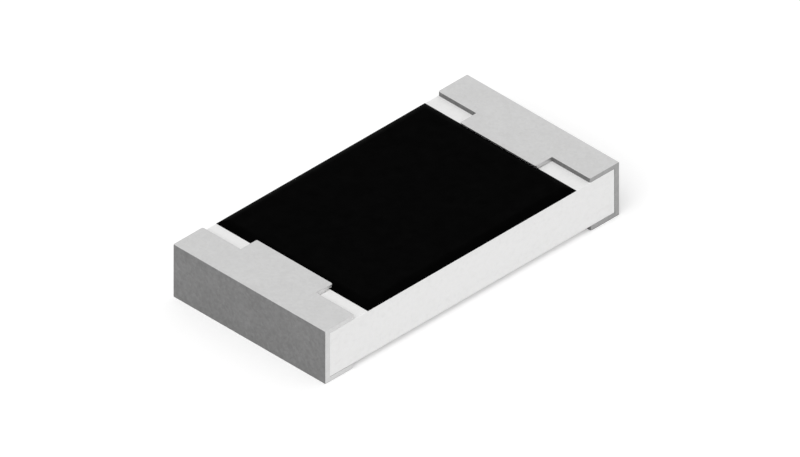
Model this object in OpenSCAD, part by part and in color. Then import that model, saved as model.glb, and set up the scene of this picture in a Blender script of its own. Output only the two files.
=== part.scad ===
// Flat chip resistor for surface mounting, 3216 metric case (1206 inch), in millimetres.
// X runs along the chip, Y across it, and Z up from the plane of its two solder lands.
// A printed resistive film lies on a ceramic plate, under glass and a black overcoat. At each end
// it meets a printed electrode, which an edge electrode, nickel and tin wrap into a terminal.

/* [Chip] */
// Length over both terminals
chip_l = 3.10; // [2.60:0.05:3.40]
// Width of the ceramic and of the terminals
chip_w = 1.60; // [1.30:0.05:1.90]
// Thickness of the ceramic plate
ceramic_t = 0.40; // [0.25:0.01:0.60]

/* [Terminals] */
// Full-width band on top, from the chip's end
band_l = 0.31; // [0.22:0.01:0.40]
// Full-width foot underneath, from the chip's end
foot_l = 0.30; // [0.20:0.01:0.60]
// Tab in the middle of the top, from the chip's end to its tip on the overcoat
tab_l = 0.480; // [0.43:0.005:0.60]
// Width of the tab
tab_w = 0.80; // [0.60:0.02:1.10]
// Length of the tab that lies on the overcoat
tab_overlap = 0.030; // [0.020:0.005:0.045]
// Corner radius of the band, the foot and the tab, seen from above
corner_r = 0.015; // [0.010:0.005:0.080]
// Rounding where the terminal turns over the chip's end
end_r = 0.010; // [0.005:0.005:0.080]

/* [Terminal layers] */
// Printed electrode on top of the ceramic
top_electrode_t = 0.010; // [0.006:0.001:0.014]
// Printed electrode under the ceramic
bottom_electrode_t = 0.015; // [0.006:0.001:0.025]
// Distance from the outline of the edge electrode in to a printed electrode
electrode_inset = 0.03; // [0.01:0.005:0.06]
// Edge electrode where it lies on a printed electrode
edge_t = 0.010; // [0.005:0.001:0.020]
// Edge electrode on the end of the ceramic
edge_end_t = 0.030; // [0.015:0.001:0.045]
// Nickel barrier
nickel_t = 0.008; // [0.004:0.001:0.014]
// Tin plating
tin_t = 0.012; // [0.006:0.001:0.020]

/* [Resistor] */
// Resistive film
film_t = 0.008; // [0.005:0.001:0.012]
// Length of film that lies on each top electrode
film_overlap = 0.10; // [0.05:0.01:0.20]
// Distance from the side of a top electrode in to the film
film_inset = 0.03; // [0.01:0.005:0.10]
// Glass over the film
glass_t = 0.008; // [0.004:0.001:0.012]
// Distance from the film out to the rim of the glass
glass_margin = 0.04; // [0.02:0.005:0.10]
// Width of the laser's trimming cut
kerf_w = 0.04; // [0.02:0.005:0.06]
// Place along the chip where the cut enters the film
kerf_x = -0.35; // [-0.60:0.05:0.00]
// Depth of the cut across the film
kerf_depth = 0.28; // [0.10:0.02:0.40]
// Length of the cut along the film
kerf_run = 0.50; // [0.10:0.05:0.80]

/* [Overcoat] */
// Overcoat above the highest glass
overcoat_t = 0.006; // [0.004:0.001:0.020]
// Distance over which the overcoat's rolled rim comes down to the ceramic
rim_l = 0.08; // [0.05:0.005:0.15]

/* [Hidden] */
$fn = 48;

// Least corner radius of a buried layer
least_r = 0.002;

// Heights
plating_t = nickel_t + tin_t;
top_cover_t = top_electrode_t + edge_t + plating_t;
bottom_cover_t = bottom_electrode_t + edge_t + plating_t;
ceramic_top = bottom_cover_t + ceramic_t;
chip_h = ceramic_top + top_cover_t;
overcoat_h = top_electrode_t + film_t + glass_t + overcoat_t;

// Lengths, from the outside in
ceramic_l = chip_l - 2 * (edge_end_t + plating_t);
overcoat_l = chip_l - 2 * (tab_l - tab_overlap);
glass_l = overcoat_l - 2 * rim_l;
film_l = glass_l - 2 * glass_margin;
electrode_x = film_l / 2 - film_overlap;

// Widths, from the tab in
electrode_w = tab_w - 2 * (plating_t + electrode_inset);
film_w = electrode_w - 2 * film_inset;
glass_w = film_w + 2 * glass_margin;

// Radius of the arc that leaves the overcoat's flat top and meets the ceramic at its rim
rim_r = (rim_l ^ 2 + overcoat_h ^ 2) / (2 * overcoat_h);

// Draws an outline in X and Z out across the chip, over the width w
module across(w) {
    rotate([90, 0, 0]) linear_extrude(w, center = true) children();
}

// Draws an outline in Y and Z out along the chip, over the length l
module along(l) {
    rotate([90, 0, 90]) linear_extrude(l, center = true) children();
}

// The left end is the right end's mirror image
module left() {
    mirror([1, 0, 0]) children();
}

module at_both_ends() {
    children();
    left() children();
}

// Rectangle from the origin out along X, with its two far corners rounded
module nose(l, w, r) {
    translate([0, -w / 2]) square([l - r, w]);
    translate([0, r - w / 2]) square([l, w - 2 * r]);
    for (side = [-1, 1]) translate([l - r, side * (w / 2 - r)]) circle(r);
}

// Flat-topped bar of length l whose two ends roll down to the base line on arcs
module rolled_bar(l) {
    flat = l / 2 - rim_l;
    translate([-flat, 0]) square([2 * flat, overcoat_h]);
    for (side = [0, 1]) mirror([side, 0]) intersection() {
        translate([flat, 0]) square([rim_l, overcoat_h]);
        translate([flat, overcoat_h - rim_r]) circle(rim_r);
    }
}

module ceramic_substrate() {
    color("whitesmoke")
        translate([0, 0, bottom_cover_t + ceramic_t / 2])
            cube([ceramic_l, chip_w, ceramic_t], center = true);
}

module top_electrode() {
    color("silver")
        translate([electrode_x, -electrode_w / 2, ceramic_top])
            cube([ceramic_l / 2 - electrode_x, electrode_w, top_electrode_t]);
}

module bottom_electrode() {
    inset = plating_t + electrode_inset;
    x_in = chip_l / 2 - foot_l + inset;
    w = chip_w - 2 * inset;
    color("silver")
        translate([x_in, -w / 2, bottom_cover_t - bottom_electrode_t])
            cube([ceramic_l / 2 - x_in, w, bottom_electrode_t]);
}

// Coat of height h on the ceramic, which climbs over the inner ends of both top electrodes
module draped_coat(l, w, h) {
    step_x = electrode_x - h;
    translate([-l / 2, -w / 2, ceramic_top]) cube([l, w, h]);
    at_both_ends()
        translate([step_x, -w / 2, ceramic_top]) cube([l / 2 - step_x, w, h + top_electrode_t]);
}

// Cut of the trimming laser: straight in from the film's edge, then along the film
module trim_kerf() {
    y_run = film_w / 2 - kerf_depth;
    translate([0, 0, ceramic_top - overcoat_h]) linear_extrude(2 * overcoat_h) {
        translate([kerf_x - kerf_w / 2, y_run]) square([kerf_w, glass_w]);
        translate([kerf_x, y_run - kerf_w / 2]) square([kerf_run, kerf_w]);
        for (x = [kerf_x, kerf_x + kerf_run]) translate([x, y_run]) circle(kerf_w / 2);
    }
}

module resistive_film() {
    color("dimgray") difference() {
        draped_coat(film_l, film_w, film_t);
        at_both_ends() top_electrode();
        trim_kerf();
    }
}

module glass_passivation() {
    color("darkseagreen") difference() {
        draped_coat(glass_l, glass_w, film_t + glass_t);
        draped_coat(film_l, film_w, film_t);
        at_both_ends() top_electrode();
        trim_kerf();
    }
}

// Outer form of the overcoat, from the ceramic up
module overcoat_pad() {
    translate([0, 0, ceramic_top]) intersection() {
        across(chip_w) rolled_bar(overcoat_l);
        along(overcoat_l) rolled_bar(chip_w);
    }
}

// The overcoat also fills the trimming cut
module overcoat() {
    color("black") difference() {
        overcoat_pad();
        at_both_ends() top_electrode();
        resistive_film();
        glass_passivation();
    }
}

// Outline seen from above of a band, foot or tab, brought in by inset from the finished size
module land(l, w, inset) {
    translate([chip_l / 2, 0]) mirror([1, 0])
        nose(l - inset, w - 2 * inset, max(corner_r - inset, least_r));
}

// Everything inside one surface of a terminal, inset from its outside: a foot underneath, and a
// band with its tab on top
module terminal_form(inset) {
    h = chip_h - 2 * inset;
    intersection() {
        across(chip_w) translate([0, chip_h / 2])
            nose(chip_l / 2 - inset, h, max(end_r - inset, least_r));
        union() {
            linear_extrude(chip_h / 2) land(foot_l, chip_w, inset);
            translate([0, 0, chip_h / 2]) linear_extrude(chip_h / 2) {
                land(band_l, chip_w, inset);
                land(tab_l, tab_w, inset);
            }
        }
    }
}

// What is on the chip before the terminals are wrapped round its ends
module printed_chip() {
    ceramic_substrate();
    top_electrode();
    bottom_electrode();
    overcoat_pad();
}

module edge_electrode() {
    color("gray") difference() {
        terminal_form(plating_t);
        printed_chip();
    }
}

module nickel_barrier() {
    color("darkgray") difference() {
        terminal_form(tin_t);
        terminal_form(plating_t);
        printed_chip();
    }
}

module tin_plating() {
    color("lightgray") difference() {
        terminal_form(0);
        terminal_form(tin_t);
        printed_chip();
    }
}

ceramic_substrate();
left() top_electrode();  // top_electrode_left
top_electrode();  // top_electrode_right
left() bottom_electrode();  // bottom_electrode_left
bottom_electrode();  // bottom_electrode_right
resistive_film();
glass_passivation();
overcoat();
left() edge_electrode();  // edge_electrode_left
edge_electrode();  // edge_electrode_right
left() nickel_barrier();  // nickel_barrier_left
nickel_barrier();  // nickel_barrier_right
left() tin_plating();  // tin_plating_left
tin_plating();  // tin_plating_right
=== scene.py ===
import math

import bmesh
import bpy
from mathutils import Matrix, Vector


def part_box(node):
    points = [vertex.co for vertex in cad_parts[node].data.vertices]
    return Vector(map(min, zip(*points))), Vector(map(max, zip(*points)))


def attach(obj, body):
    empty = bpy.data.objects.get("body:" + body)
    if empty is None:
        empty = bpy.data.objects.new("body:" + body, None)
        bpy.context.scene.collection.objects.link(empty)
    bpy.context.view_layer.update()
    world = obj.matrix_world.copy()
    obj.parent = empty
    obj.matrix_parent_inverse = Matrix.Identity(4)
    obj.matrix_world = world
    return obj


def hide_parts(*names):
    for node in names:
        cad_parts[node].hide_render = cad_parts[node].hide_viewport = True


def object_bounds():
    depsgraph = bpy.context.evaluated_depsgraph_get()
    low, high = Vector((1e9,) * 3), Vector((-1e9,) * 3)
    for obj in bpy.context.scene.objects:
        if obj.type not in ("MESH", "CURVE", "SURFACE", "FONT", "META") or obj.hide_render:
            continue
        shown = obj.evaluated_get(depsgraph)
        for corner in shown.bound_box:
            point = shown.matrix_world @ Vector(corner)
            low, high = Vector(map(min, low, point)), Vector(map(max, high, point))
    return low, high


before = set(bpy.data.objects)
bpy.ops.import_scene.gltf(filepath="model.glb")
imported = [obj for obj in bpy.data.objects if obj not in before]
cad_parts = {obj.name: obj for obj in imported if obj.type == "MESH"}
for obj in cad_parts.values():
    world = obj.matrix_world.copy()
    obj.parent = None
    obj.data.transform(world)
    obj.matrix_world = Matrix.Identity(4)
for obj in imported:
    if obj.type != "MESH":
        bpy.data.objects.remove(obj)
cad_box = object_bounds()

# X runs along the chip to its right terminal, Y across it, and Z up from its solder lands.
# Lengths are in millimetres. Each piece is brought to metres when it is finished.
MM = 0.001

# Terminal, as in the part's source
BAND_L = 0.31
FOOT_L = 0.30
TAB_W = 0.80
TIN_T = 0.012
CORNER_R = 0.015
END_R = 0.010

# Rims of the terminal: their rounding, and the angle above which an outward edge is a rim
RIM_R = 0.005
RIM_ANGLE = math.radians(60)

# A face lies flat where its normal has more than this share of up or down in it.
FLAT_SHARE = 0.6

# Ceramic plate: the rounding of its edges, the heights between which its sides are snapped, and how
# soft and how ragged the edges of that band are
CERAMIC_EDGE_R = 0.006
SNAP_LOW = 0.15
SNAP_HIGH = 0.36
SNAP_EDGE = 0.02
SNAP_RAGGED = 0.04

# Rolled rim of the overcoat, as in the part's source
COAT_RIM_L = 0.08

# Steps in a large rounding and in a small one
LARGE_STEPS = 6
SMALL_STEPS = 3

# Meshes: slack where places are compared, distance within which points are one, angle within which
# faces are one, and angle up to which they shade smoothly into each other
SLACK = 1e-5
SAME_POINT = 1e-6
SAME_FLAT = math.radians(1)
SMOOTH_ANGLE = math.radians(38)

# The part of a noise pattern's range that drives a roughness
NOISE_LOW = 0.3
NOISE_HIGH = 0.7

# How far the tin's mottle goes above and below its level
TIN_MOTTLE = 0.03

# Camera: width of its view, where the view's middle lies from the chip's middle, and its distances
VIEW_W = 5.96
VIEW_RIGHT = 0.0275
VIEW_UP = 0.0062
CAMERA_OFF = 40
CLIP_START = 1
CLIP_END = 1000

# Stage: room, lamp and table
ROOM_LIGHT = 0.60
LAMP_TOWARDS = (-0.54, -0.29, 0.78)
LAMP_OFF = 200
LAMP_SIZE = 200
LAMP_RADIANCE = 1.7
TABLE_HALF = 400
TABLE_ROUGHNESS = 0.8
TABLE_GLOW = 0.20
TABLE_WHITE = (0.95, 0.95, 0.95, 1)
PURE_WHITE = (1, 1, 1, 1)


def box_mm(node):
    """Lowest and highest corner of a CAD node, in millimetres."""
    lo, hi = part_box(node)
    return Vector(lo) / MM, Vector(hi) / MM


def put(name, data):
    """Adds an object to the scene and returns it."""
    thing = bpy.data.objects.new(name, data)
    bpy.context.scene.collection.objects.link(thing)
    return thing


# Mesh work


def near(a, b, slack=SLACK):
    """Whether two lengths are the same, within a slack."""
    return abs(a - b) < slack


def middle(face):
    """Middle of a face's corners."""
    return face.calc_center_median()


def is_level(edge):
    """Whether both ends of an edge are at one height."""
    return near(edge.verts[0].co.z, edge.verts[1].co.z)


def is_rim(edge):
    """Whether two faces meet at an edge in a sharp outward corner."""
    return len(edge.link_faces) == 2 and edge.is_convex and edge.calc_face_angle() > RIM_ANGLE


def place_of(edge):
    """Where an edge lies, to a nanometre."""
    return frozenset(tuple(round(c, 6) for c in v.co) for v in edge.verts)


def add_block(bm, lo, hi):
    """A block between two corners."""
    place = Matrix.Translation((lo + hi) / 2) @ Matrix.Diagonal((*(hi - lo), 1))
    bmesh.ops.create_cube(bm, size=1, matrix=place)


def cut_across(bm, point, normal):
    """Adds an edge loop where a plane crosses the mesh."""
    geom = bm.verts[:] + bm.edges[:] + bm.faces[:]
    bmesh.ops.bisect_plane(bm, geom=geom, plane_co=point, plane_no=normal, dist=SAME_POINT)


def round_edges(bm, edges, radius, steps):
    """Rounds edges to a radius."""
    bmesh.ops.bevel(
        bm, geom=list(edges), offset=radius, offset_type="OFFSET", affect="EDGES",
        segments=steps, profile=0.5, material=-1, clamp_overlap=True,
    )


def set_order(bm):
    """Sorts points and faces by their places, because the operators leave them in a new order each run."""
    for elements, place in ((bm.verts, lambda v: v.co[:]), (bm.faces, lambda f: middle(f)[:])):
        for index, element in enumerate(sorted(elements, key=place)):
            element.index = index
        elements.sort()


def make_piece(name, bm, materials, node):
    """Turns a mesh in millimetres into a piece that stands for a CAD node."""
    bmesh.ops.remove_doubles(bm, verts=bm.verts, dist=SAME_POINT)
    bmesh.ops.recalc_face_normals(bm, faces=bm.faces)
    set_order(bm)
    rough = bpy.data.meshes.new(name)
    bm.to_mesh(rough)
    bm.free()
    rough.shade_smooth()
    rough.set_sharp_from_angle(angle=SMOOTH_ANGLE)
    for material in materials:
        rough.materials.append(material)
    piece = put(name, rough)
    # Flat faces shade flat up to their rounded edges.
    even = piece.modifiers.new("Even shading", "WEIGHTED_NORMAL")
    even.weight = 100
    even.thresh = 1e-5
    even.keep_sharp = True
    shaded = piece.evaluated_get(bpy.context.evaluated_depsgraph_get())
    piece.data = bpy.data.meshes.new_from_object(shaded)
    piece.modifiers.clear()
    piece.data.transform(Matrix.Scale(MM, 4))
    bpy.data.meshes.remove(rough)
    piece.data.name = name
    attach(piece, "root")
    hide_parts(node)


# Materials


class Finish:
    """A material under construction, with its patterns in millimetres of the object."""

    def __init__(self, name, metallic):
        self.material = bpy.data.materials.new(name)
        self.material.use_nodes = True
        self.nodes = self.material.node_tree.nodes
        self.links = self.material.node_tree.links
        self.shader = self.nodes["Principled BSDF"]
        self.shader.inputs["Metallic"].default_value = metallic
        coordinates = self.nodes.new("ShaderNodeTexCoord")
        self.place = self.nodes.new("ShaderNodeMapping")
        self.place.inputs["Scale"].default_value = (1 / MM, 1 / MM, 1 / MM)
        self.links.new(coordinates.outputs["Object"], self.place.inputs["Vector"])

    def pattern(self, kind, **numbers):
        """Outputs of a node that reads the place on the object."""
        node = self.nodes.new(kind)
        for name, number in numbers.items():
            node.inputs[name].default_value = number
        self.links.new(self.place.outputs["Vector"], node.inputs["Vector"])
        return node.outputs

    def noise(self, per_mm, detail=2.0, rough=0.5):
        """Soft noise, with so many waves to the millimetre."""
        return self.pattern("ShaderNodeTexNoise", Scale=per_mm, Detail=detail, Roughness=rough)["Fac"]

    def grains(self, per_mm):
        """Cells of a grain: the Distance from each one's middle, and a Color of its own."""
        return self.pattern("ShaderNodeTexVoronoi", Scale=per_mm)

    def height(self):
        """Height above the solder lands, in millimetres."""
        return self.pattern("ShaderNodeSeparateXYZ")["Z"]

    def weighted_sum(self, *parts):
        """Adds patterns, each given as (pattern, share)."""
        total = None
        for pattern, share in parts:
            node = self.nodes.new("ShaderNodeMath")
            node.operation = "MULTIPLY_ADD"
            node.inputs[1].default_value = share
            node.inputs[2].default_value = 0.0
            self.links.new(pattern, node.inputs[0])
            if total is not None:
                self.links.new(total, node.inputs[2])
            total = node.outputs[0]
        return total

    def product(self, first, second):
        """Multiplies two patterns."""
        node = self.nodes.new("ShaderNodeMath")
        node.operation = "MULTIPLY"
        self.links.new(first, node.inputs[0])
        self.links.new(second, node.inputs[1])
        return node.outputs[0]

    def spread(self, value, source, target):
        """Carries a value from one range over to another."""
        node = self.nodes.new("ShaderNodeMapRange")
        names = ("From Min", "From Max", "To Min", "To Max")
        for name, number in zip(names, (*source, *target)):
            node.inputs[name].default_value = number
        self.links.new(value, node.inputs["Value"])
        return node.outputs["Result"]

    def colour(self, value, *stops):
        """Colours the surface by a pattern, through stops of (place, colour)."""
        ramp = self.nodes.new("ShaderNodeValToRGB")
        elements = ramp.color_ramp.elements
        while len(elements) < len(stops):
            elements.new(0.5)
        for element, (place, rgb) in zip(elements, stops):
            element.position = place
            element.color = (*rgb, 1)
        self.links.new(value, ramp.inputs["Fac"])
        self.links.new(ramp.outputs["Color"], self.shader.inputs["Base Color"])

    def roughness(self, value, smoothest, roughest):
        """Roughens the surface by a pattern."""
        rough = self.spread(value, (NOISE_LOW, NOISE_HIGH), (smoothest, roughest))
        self.links.new(rough, self.shader.inputs["Roughness"])

    def relief(self, *layers):
        """Bump in layers of (pattern, height in millimetres)."""
        normal = None
        for pattern, height in layers:
            bump = self.nodes.new("ShaderNodeBump")
            bump.inputs["Strength"].default_value = 1.0
            bump.inputs["Distance"].default_value = height * MM
            self.links.new(pattern, bump.inputs["Height"])
            if normal is not None:
                self.links.new(normal, bump.inputs["Normal"])
            normal = bump.outputs["Normal"]
        self.links.new(normal, self.shader.inputs["Normal"])


def grey(level, warm=0.0):
    """A grey, a little warmer in its red than in its blue where that is asked."""
    return (level * (1 + warm), level, level * (1 - warm))


def matt_tin(name, level, crystal_height, smoothest, roughest):
    """Electroplated matt tin: fine crystals, each a little lighter or darker, under a faint cloud."""
    finish = Finish(name, metallic=1.0)
    crystals = finish.grains(per_mm=48.0)
    grit = finish.noise(per_mm=120.0)
    cloud = finish.noise(per_mm=5.0, detail=3.0)
    mottle = finish.weighted_sum((crystals["Color"], 0.35), (grit, 0.25), (cloud, 0.40))
    darkest = grey(level - TIN_MOTTLE, warm=0.003)
    lightest = grey(level + TIN_MOTTLE, warm=0.001)
    finish.colour(mottle, (0.25, darkest), (0.75, lightest))
    finish.roughness(finish.noise(per_mm=22.0, detail=4.0), smoothest, roughest)
    finish.relief((crystals["Distance"], crystal_height), (grit, 0.0005))
    return finish.material


def fired_alumina():
    """White fired alumina of fine grain, rough along the sides where the plate was snapped."""
    finish = Finish("fired alumina", metallic=0.0)
    finish.shader.inputs["Specular IOR Level"].default_value = 0.35
    ragged = finish.noise(per_mm=9.0, detail=3.0)
    level = finish.weighted_sum((finish.height(), 1.0), (ragged, SNAP_RAGGED))
    above = finish.spread(level, (SNAP_LOW, SNAP_LOW + SNAP_EDGE), (0.0, 1.0))
    below = finish.spread(level, (SNAP_HIGH - SNAP_EDGE, SNAP_HIGH), (1.0, 0.0))
    snapped = finish.product(above, below)
    crags = finish.product(finish.noise(per_mm=24.0, detail=6.0, rough=0.6), snapped)
    grain = finish.noise(per_mm=26.0, detail=5.0, rough=0.65)
    finish.colour(
        finish.weighted_sum((grain, 1.0), (crags, 0.10)),
        (0.25, grey(0.85, warm=0.004)), (0.5, grey(0.90, warm=0.003)), (0.8, grey(0.92, warm=0.002)),
    )
    finish.roughness(finish.noise(per_mm=40.0), smoothest=0.48, roughest=0.62)
    finish.relief((crags, 0.004), (finish.noise(per_mm=60.0, detail=4.0, rough=0.6), 0.0012))
    return finish.material


def black_overcoat():
    """Black printed resin, with the soft ripple that the screen leaves."""
    finish = Finish("black overcoat", metallic=0.0)
    finish.shader.inputs["Specular IOR Level"].default_value = 0.005
    finish.colour(finish.noise(per_mm=9.0, detail=3.0), (0.3, grey(0.0004)), (0.7, grey(0.0010)))
    finish.roughness(finish.noise(per_mm=14.0), smoothest=0.44, roughest=0.56)
    finish.relief((finish.noise(per_mm=11.0), 0.0010))
    return finish.material


def silver_paste():
    """Fired silver paste of the printed electrodes."""
    finish = Finish("fired silver paste", metallic=1.0)
    cloud = finish.noise(per_mm=30.0, detail=4.0)
    finish.colour(cloud, (0.3, (0.72, 0.70, 0.66)), (0.7, (0.84, 0.82, 0.78)))
    finish.roughness(finish.noise(per_mm=50.0), smoothest=0.42, roughest=0.58)
    finish.relief((finish.grains(per_mm=60.0)["Distance"], 0.001))
    return finish.material


def ruthenium_film():
    """Dark grey fired film of ruthenium oxide."""
    finish = Finish("ruthenium oxide film", metallic=0.0)
    finish.colour(finish.grains(per_mm=45.0)["Distance"], (0.1, grey(0.035)), (0.8, grey(0.085)))
    finish.roughness(finish.noise(per_mm=40.0), smoothest=0.5, roughest=0.7)
    finish.relief((finish.noise(per_mm=50.0, detail=3.0), 0.001))
    return finish.material


def green_glaze():
    """Glass glaze over the film, slightly green."""
    finish = Finish("glass glaze", metallic=0.0)
    finish.shader.inputs["Transmission Weight"].default_value = 0.6
    finish.colour(finish.noise(per_mm=8.0), (0.3, (0.40, 0.55, 0.46)), (0.7, (0.50, 0.64, 0.55)))
    finish.roughness(finish.noise(per_mm=12.0), smoothest=0.10, roughest=0.20)
    finish.relief((finish.noise(per_mm=9.0), 0.0008))
    return finish.material


def silver_resin():
    """Silver-filled resin of the edge electrodes."""
    finish = Finish("silver-filled resin", metallic=1.0)
    flakes = finish.grains(per_mm=55.0)["Distance"]
    finish.colour(flakes, (0.1, grey(0.40, warm=0.01)), (0.7, grey(0.54, warm=0.01)))
    finish.roughness(finish.noise(per_mm=35.0), smoothest=0.5, roughest=0.7)
    finish.relief((finish.grains(per_mm=70.0)["Distance"], 0.0015))
    return finish.material


def satin_nickel():
    """Plated nickel between the edge electrode and the tin."""
    finish = Finish("satin nickel", metallic=1.0)
    cloud = finish.noise(per_mm=14.0, detail=3.0)
    finish.colour(cloud, (0.3, (0.60, 0.57, 0.52)), (0.7, (0.66, 0.63, 0.58)))
    finish.roughness(finish.noise(per_mm=30.0), smoothest=0.28, roughest=0.42)
    finish.relief((finish.noise(per_mm=70.0), 0.0006))
    return finish.material


# Pieces


def ceramic_plate(material):
    """Ceramic plate with its sharp edges just broken."""
    bm = bmesh.new()
    add_block(bm, *box_mm("ceramic_substrate"))
    round_edges(bm, bm.edges, CERAMIC_EDGE_R, SMALL_STEPS)
    make_piece("ceramic_plate", bm, [material], "ceramic_substrate")


def rim_height(inward, height):
    """Height of the overcoat's rolled rim above the ceramic, at a distance in from its edge."""
    radius = (COAT_RIM_L ** 2 + height ** 2) / (2 * height)
    out = max(COAT_RIM_L - inward, 0)
    return height - radius + math.sqrt(radius ** 2 - out ** 2)


class TinSkin:
    """Tin plating of the right end under construction, with the planes that it is built to."""

    def __init__(self):
        self.lo, self.hi = box_mm("tin_plating_right")
        self.plate_lo, self.plate_hi = box_mm("ceramic_substrate")
        self.coat_lo, self.coat_hi = box_mm("overcoat")
        self.tip_x = self.lo.x
        self.end_x = self.hi.x
        self.band_x = self.end_x - BAND_L
        self.foot_x = self.end_x - FOOT_L
        self.tab_y = TAB_W / 2
        self.bm = bmesh.new()

    def block_out(self):
        """A block as long as the band, cut at the sides of the tab and at the faces of the ceramic."""
        add_block(self.bm, Vector((self.band_x, self.lo.y, self.lo.z)), self.hi)
        for y in (self.tab_y, -self.tab_y):
            cut_across(self.bm, (0, y, 0), (0, 1, 0))
        for z in (self.plate_lo.z, self.plate_hi.z):
            cut_across(self.bm, (0, 0, z), (0, 0, 1))
        cut_across(self.bm, (self.plate_hi.x, 0, 0), (1, 0, 0))

    def is_tab_root(self, face):
        """Whether a face is where the tab leaves the band's inner edge, above the ceramic."""
        at = middle(face)
        return near(at.x, self.band_x) and at.z > self.plate_hi.z and abs(at.y) < self.tab_y

    def draw_tab(self):
        """Draws the tab out of the band to its tip."""
        root = [f for f in self.bm.faces if self.is_tab_root(f)]
        drawn = bmesh.ops.extrude_face_region(self.bm, geom=root)["geom"]
        tip = [g for g in drawn if isinstance(g, bmesh.types.BMVert)]
        bmesh.ops.translate(self.bm, vec=(self.tip_x - self.band_x, 0, 0), verts=tip)

    def is_covered(self, face):
        """Whether the chip or the tab covers a face, so that the skin is open there."""
        at = middle(face)
        beside = self.plate_lo.z < at.z < self.plate_hi.z and at.x < self.plate_hi.x
        against = beside and (near(at.x, self.band_x) or near(abs(at.y), self.hi.y))
        under_tab = near(at.z, self.plate_hi.z) and at.x < self.band_x
        return against or under_tab or self.is_tab_root(face)

    def open_up(self):
        """Opens the skin where it is covered, and brings the foot to its own length."""
        covered = [f for f in self.bm.faces if self.is_covered(f)]
        bmesh.ops.delete(self.bm, geom=covered, context="FACES")
        for vert in self.bm.verts:
            if near(vert.co.x, self.band_x) and vert.co.z < self.plate_hi.z - SLACK:
                vert.co.x = self.foot_x
        bmesh.ops.dissolve_limit(
            self.bm, angle_limit=SAME_FLAT, use_dissolve_boundaries=False,
            verts=self.bm.verts[:], edges=self.bm.edges[:],
        )

    def uprights(self, x, y):
        """Edges that stand at one place along the chip, on both of its sides."""
        return [
            e for e in self.bm.edges
            if not is_level(e) and all(near(v.co.x, x) and near(abs(v.co.y), y) for v in e.verts)
        ]

    def is_at_turn(self, vert):
        """Whether a point lies on one of the two edges where the skin turns over the end."""
        top_or_bottom = near(vert.co.z, self.lo.z) or near(vert.co.z, self.hi.z)
        return near(vert.co.x, self.end_x) and top_or_bottom

    def round_outline(self):
        """Rounds the corners of the band, the foot and the tab, and then the turns over the end."""
        corners = self.uprights(self.band_x, self.hi.y)
        corners += self.uprights(self.foot_x, self.hi.y)
        corners += self.uprights(self.tip_x, self.tab_y)
        round_edges(self.bm, corners, CORNER_R, LARGE_STEPS)
        turns = [e for e in self.bm.edges if is_level(e) and all(map(self.is_at_turn, e.verts))]
        round_edges(self.bm, turns, END_R, LARGE_STEPS)

    def seat_tip(self):
        """Lays the tip on the overcoat's rolled rim."""
        for vert in self.bm.verts:
            if near(vert.co.z, self.plate_hi.z) and vert.co.x < self.coat_hi.x:
                climb = rim_height(self.coat_hi.x - vert.co.x, self.coat_hi.z - self.coat_lo.z)
                vert.co.z = self.plate_hi.z + climb

    def sharpen_inner_turns(self):
        """The skin is thicker than its rounding over the end, so inside it turns in a sharp corner."""
        turned = []
        for turn_z, inner_z in (
            (self.lo.z + END_R, self.lo.z + TIN_T),
            (self.hi.z - END_R, self.hi.z - TIN_T),
        ):
            for vert in self.bm.verts:
                beside = near(vert.co.x, self.end_x - END_R, END_R / 2)
                if beside and near(vert.co.z, turn_z, END_R / 2):
                    inner_y = math.copysign(self.hi.y - TIN_T, vert.co.y)
                    vert.co = (self.end_x - TIN_T, inner_y, inner_z)
                    turned.append(vert)
        bmesh.ops.remove_doubles(self.bm, verts=turned, dist=SAME_POINT)

    def thicken(self):
        """Gives the skin its thickness, inwards, and rounds the rims of its outside."""
        bmesh.ops.recalc_face_normals(self.bm, faces=self.bm.faces)
        outside = {place_of(e) for e in self.bm.edges if is_rim(e)}
        bmesh.ops.solidify(self.bm, geom=self.bm.faces[:], thickness=TIN_T)
        self.sharpen_inner_turns()
        self.bm.normal_update()
        rims = [e for e in self.bm.edges if place_of(e) in outside and is_rim(e)]
        round_edges(self.bm, rims, RIM_R, SMALL_STEPS)
        self.bm.normal_update()

    def part_of(self, face):
        """Which part of the terminal a face belongs to."""
        across, along, up = (abs(c) for c in face.normal.yxz)
        if up > FLAT_SHARE:
            return "flats"
        if middle(face).x < self.band_x - TIN_T:
            return "tab"
        return "sides" if across > along else "end"

    def share_out(self, tins):
        """Gives each face the tin of its part, and returns the tins in the order of their slots."""
        slots = list(dict.fromkeys(tins.values()))
        # Faces are sorted by which way they turn; this carries the painted shade and painted light of the
        # tins.
        for face in self.bm.faces:
            face.material_index = slots.index(tins[self.part_of(face)])
        return slots


def terminal(side, **tins):
    """Terminal of one end: tin over the top with its tab, over the end and underneath.

    Its tins are those of the flats, the sides, the end and the walls of the tab.
    Lighter or darker copies of the tin among them are painted light and painted shade.
    """
    skin = TinSkin()
    skin.block_out()
    skin.draw_tab()
    skin.open_up()
    skin.round_outline()
    skin.seat_tip()
    skin.thicken()
    slots = skin.share_out(tins)
    if side == "left":
        bmesh.ops.scale(skin.bm, vec=(-1, 1, 1), verts=skin.bm.verts)
    make_piece("terminal_" + side, skin.bm, slots, "tin_plating_" + side)


def dress_layers():
    """Gives a finish to every CAD node that stays."""
    silver = silver_paste()
    resin = silver_resin()
    nickel = satin_nickel()
    finishes = {
        "overcoat": black_overcoat(),
        "resistive_film": ruthenium_film(),
        "glass_passivation": green_glaze(),
    }
    for side in ("left", "right"):
        finishes["top_electrode_" + side] = silver
        finishes["bottom_electrode_" + side] = silver
        finishes["edge_electrode_" + side] = resin
        finishes["nickel_barrier_" + side] = nickel
    for node, material in finishes.items():
        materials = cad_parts[node].data.materials
        materials.clear()
        materials.append(material)


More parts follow.
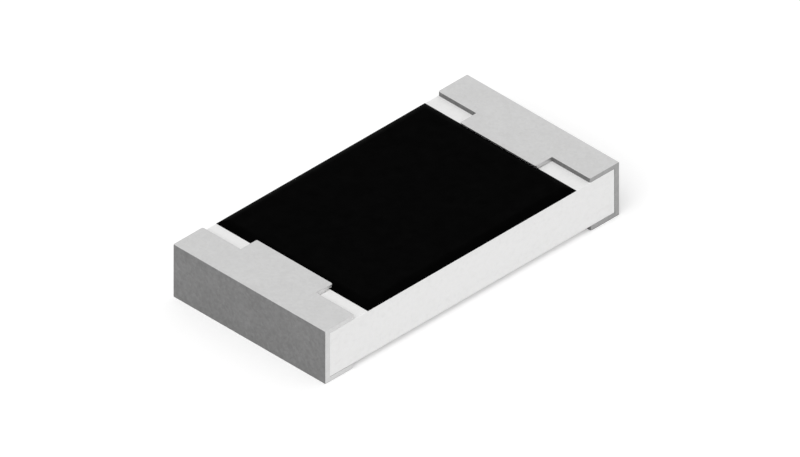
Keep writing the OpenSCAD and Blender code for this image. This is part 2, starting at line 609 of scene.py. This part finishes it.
def build_pieces():
    """Builds the pieces that stand for a CAD node."""
    tin = matt_tin("matt tin", level=0.625, crystal_height=0.0009, smoothest=0.38, roughest=0.48)
    # Left tab walls: a lighter copy of the tin, painted light where the walls would otherwise mirror the
    # black overcoat.
    tab_tin_painted_light = matt_tin("matt tin with painted light on the tab walls", level=0.84, crystal_height=0.0009, smoothest=0.60, roughest=0.70)
    # Right terminal's sides: a darker copy of the tin, painted shade, so that they read greyer than the
    # left terminal's.
    side_tin_painted_shade = matt_tin("matt tin with painted shade along the sides", level=0.36, crystal_height=0.0010, smoothest=0.44, roughest=0.54)
    # Ends: a darker copy of the tin with more roughness; its darkness is painted shade.
    end_tin_painted_shade = matt_tin("matt tin with painted shade over the ends", level=0.275, crystal_height=0.0012, smoothest=0.66, roughest=0.78)
    ceramic_plate(fired_alumina())
    terminal("left", flats=tin, sides=tin, end=end_tin_painted_shade, tab=tab_tin_painted_light)
    terminal("right", flats=tin, sides=side_tin_painted_shade, end=end_tin_painted_shade, tab=tin)


# Stage


def aim(thing, place, target):
    """Puts the lamp or the camera at a place and turns it to a target."""
    thing.location = place
    thing.rotation_mode = "QUATERNION"
    thing.rotation_quaternion = (target - place).to_track_quat("-Z", "Y")


def camera():
    """Isometric camera, framed as the drawing is."""
    lens = bpy.data.cameras.new("isometric camera")
    lens.type = "ORTHO"
    lens.ortho_scale = VIEW_W * MM
    lens.clip_start = CLIP_START * MM
    lens.clip_end = CLIP_END * MM
    eye = put("isometric camera", lens)
    bpy.context.scene.camera = eye
    towards = Vector((-1, -1, 1)).normalized()
    right = Vector((1, -1, 0)).normalized()
    up = towards.cross(right)
    centre = (Vector(cad_box[0]) + Vector(cad_box[1])) / 2
    target = centre + (right * VIEW_RIGHT + up * VIEW_UP) * MM
    aim(eye, target + towards * (CAMERA_OFF * MM), target)


def softbox():
    """Large soft lamp, high on the camera's side, with one radiance all over its face."""
    light = bpy.data.lights.new("softbox", "AREA")
    light.shape = "SQUARE"
    light.size = LAMP_SIZE * MM
    light.energy = LAMP_RADIANCE * math.pi * (LAMP_SIZE * MM) ** 2
    lamp = put("softbox", light)
    # Metal mirrors the white room and not the lamp.
    lamp.visible_camera = False
    lamp.visible_glossy = False
    aim(lamp, Vector(LAMP_TOWARDS).normalized() * (LAMP_OFF * MM), Vector((0, 0, 0)))


def where_seen(tree, unseen, seen):
    """A strength that differs between rays that see a surface and rays that carry its light."""
    path = tree.nodes.new("ShaderNodeLightPath")
    sees = path.outputs["Is Camera Ray"]
    for kind in ("Is Glossy Ray", "Is Transmission Ray"):
        either = tree.nodes.new("ShaderNodeMath")
        either.operation = "MAXIMUM"
        tree.links.new(sees, either.inputs[0])
        tree.links.new(path.outputs[kind], either.inputs[1])
        sees = either.outputs[0]
    level = tree.nodes.new("ShaderNodeMapRange")
    level.inputs["To Min"].default_value = unseen
    level.inputs["To Max"].default_value = seen
    tree.links.new(sees, level.inputs["Value"])
    return level.outputs["Result"]


def room():
    """Even light from all round. The camera and reflections see it white."""
    world = bpy.data.worlds.new("white room")
    bpy.context.scene.world = world
    world.use_nodes = True
    light = world.node_tree.nodes["Background"]
    light.inputs["Color"].default_value = PURE_WHITE
    strength = where_seen(world.node_tree, ROOM_LIGHT, 1.0)
    world.node_tree.links.new(strength, light.inputs["Strength"])
    world.cycles.sampling_method = "NONE"


def white_table():
    """Matt white that the camera and reflections see a little lighter than its light makes it."""
    material = bpy.data.materials.new("white table")
    material.use_nodes = True
    shader = material.node_tree.nodes["Principled BSDF"]
    shader.inputs["Base Color"].default_value = TABLE_WHITE
    shader.inputs["Roughness"].default_value = TABLE_ROUGHNESS
    shader.inputs["Specular IOR Level"].default_value = 0.0
    shader.inputs["Emission Color"].default_value = PURE_WHITE
    glow = where_seen(material.node_tree, 0.0, TABLE_GLOW)
    material.node_tree.links.new(glow, shader.inputs["Emission Strength"])
    return material


def table_top():
    """Plain white table under the chip."""
    bm = bmesh.new()
    bmesh.ops.create_grid(bm, x_segments=1, y_segments=1, size=TABLE_HALF * MM)
    mesh = bpy.data.meshes.new("table top")
    bm.to_mesh(mesh)
    bm.free()
    mesh.materials.append(white_table())
    put("table_top", mesh)


def stage():
    """Camera, light and table, seen through the plain view transform."""
    bpy.context.scene.view_settings.view_transform = "Standard"
    camera()
    room()
    table_top()
    softbox()


dress_layers()
build_pieces()
stage()
